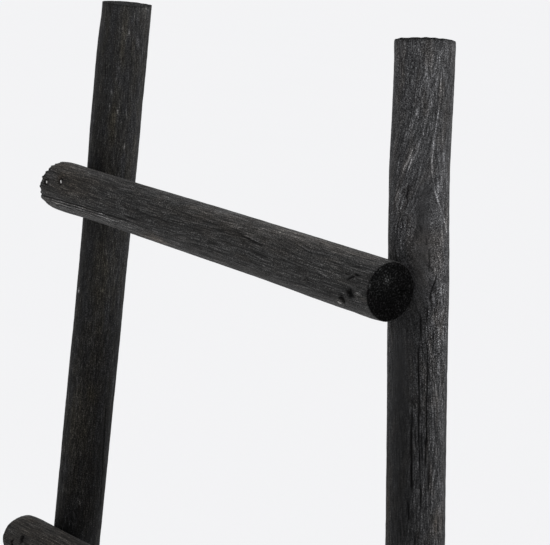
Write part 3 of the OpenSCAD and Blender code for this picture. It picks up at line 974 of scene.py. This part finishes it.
secondRung = {
    "step": 3.0, "drawnOut": 1.4, "contrast": 0.3, "fineAlong": [(0, 90, 0.8), (543, 599, 0.8)], "torn": (0.3, 0.8),
    "toneAlong": [(0, 0), (60, -0.1), (300, 0.1), (600, -0.1)],
    "cuts": ([(0, 0), (30, -0.8), (60, -1.6), (100, -1), (180, 0), (360, 0)], square),
    "pale": [(74, 97, 5, 4, 1.5)],
    "brown": [(0, 30, 60, 90, 0.35), (90, 50, 60, 60, 0.5), (22, 78, 10, 8, 0.6)],
    "lumps": [(0, 75, 7, 40, -1.4), (22, 84, 14, 34, 0.8), (74, 97, 4, 3.5, 1.4)],
}
ownRungs = {
    1: topRung,
    2: secondRung,
    3: {"knots": [(300, 20, 30, 30, 0.6)]},
    4: {"knots": [(180, -40, 30, 30, 0.5)], "toneAlong": [(0, 0.1), (350, -0.4), (700, 0.0)]},
    5: {"knots": [(520, 60, 35, 30, 0.6)]},
}

for i in rungNumbers:
    lay = layRung(i)
    length = lay["length"]
    wood = {**plainRung, "seed": 700 + 40 * i, "fineAlong": [(0, 56, 0.8), (length - 56, length, 0.8)],
            "nails": nailSpots(i, -1) + nailSpots(i, 1), **ownRungs[i]}
    rung = Pole("rung_%d_wood" % i, lay, wood).build()
    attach(rung, "root")
    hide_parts("rung_%d" % i)
print("rungs are built")

steelLook = {
    "stain": (0.012, 0.012, 0.012), "rust": (0.026, 0.018, 0.013), "dull": (0.18, 0.175, 0.17),
    "bright": (0.78, 0.77, 0.75), "covered": 0.35, "scuffs": 2.4, "scuffCells": 1700, "pitCells": 700,
    "roughness": 0.75, "relief": 0.5, "reliefDepth": 0.0002,
}
steel = rubbedSteel("rubbed_nail_steel", steelLook)


def driveNails(name, i, side):
    lay, shown = layRung(i), nail["shown"].get((i, side))
    rng = np.random.default_rng(90 + 10 * i + side)
    around, neck, shank, tip = nail["around"], nail["neck"], nail["shankRadius"], nail["length"]
    outline = (nail["head"] + [(shank, deep) for deep in (neck, 4.5, 30.0, tip - nail["point"])]
               + [(radius, tip - left) for radius, left in nail["tip"]])
    spots, faces, bareness = [], [], []
    for k, (along, up) in enumerate(nailSpots(i, side)):
        other = [rng.uniform(*limits) for limits in nail["other"]]
        deeper, patchX, patchZ, patchSize, bright = shown[k] if shown else other
        centre = lay["start"] + lay["axis"] * along + lay["side"] * up
        surface = lay["start"][1] - math.sqrt(lay["radius"] ** 2 - up ** 2)
        leanX, leanZ = rng.uniform(-nail["lean"], nail["lean"], 2)
        dents = [[rng.uniform(*limits) for limits in nail["dent"]] for n in range(nail["dents"])]
        first = len(spots)
        for radius, deep in outline:
            for n in range(around):
                turn = 2 * math.pi * n / around
                x, z = radius * math.cos(turn), radius * math.sin(turn)
                dent = sum(d * math.exp(-((x - dx) ** 2 + (z - dz) ** 2) / w ** 2) for dx, dz, w, d in dents)
                inward = (nail["sink"] + deep + (dent if deep < 0.5 else 0.0)
                          + (leanX * x + leanZ * z if deep < neck else 0.0) + deeper * max(0.0, 1 - deep / 30.0))
                spot = centre + lay["axis"] * x + lay["side"] * z
                spots.append([spot[0], surface + inward, spot[2]])
                off = math.hypot(x / nail["headRadius"] - patchX, z / nail["headRadius"] - patchZ) / patchSize
                bareness.append(bright * math.exp(-off ** 2) if deep < 0.9 else 0.0)
        faces.append([first + n for n in range(around)])
        for row in range(len(outline) - 1):
            for n in range(around):
                a, b = first + row * around + n, first + row * around + (n + 1) % around
                faces.append([a, a + around, b + around, b])
        last = first + (len(outline) - 1) * around
        faces.append([last + n for n in reversed(range(around))])
    pair = newPiece(name, (np.array(spots) * mm).tolist(), faces, [steel])
    markPoints(pair.data, "bareness", np.array(bareness))
    return pair


for i in rungNumbers:
    for side, word in ((-1, "left"), (1, "right")):
        pair = driveNails("rung_%d_%s_nail_pair" % (i, word), i, side)
        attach(pair, "root")
        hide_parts("rung_%d_%s_nails" % (i, word))
print("nails are driven")


def layFloor():
    material, wire = newMaterial("pale_floor")
    cloud = wire.node("ShaderNodeTexCoord", give="Object").even(studio["clouds"])
    pale, shade = studio["floor"] + (1.0,), tuple(studio["cloudShade"] * c for c in studio["floor"]) + (1.0,)
    dress(wire, {"Base Color": wire.between(cloud, pale, shade), "Roughness": 0.9, "Specular IOR Level": 0.0})
    wide = studio["floorRadius"]
    rim = [(wide * cosineOf(k * 5), wide * sineOf(k * 5), 0.0) for k in range(72)]
    floor = newPiece("floor", rim, [list(range(72))], [material], smooth=False)
    floor.location.z = -studio["floorDrop"]


layFloor()
print("floor is laid")
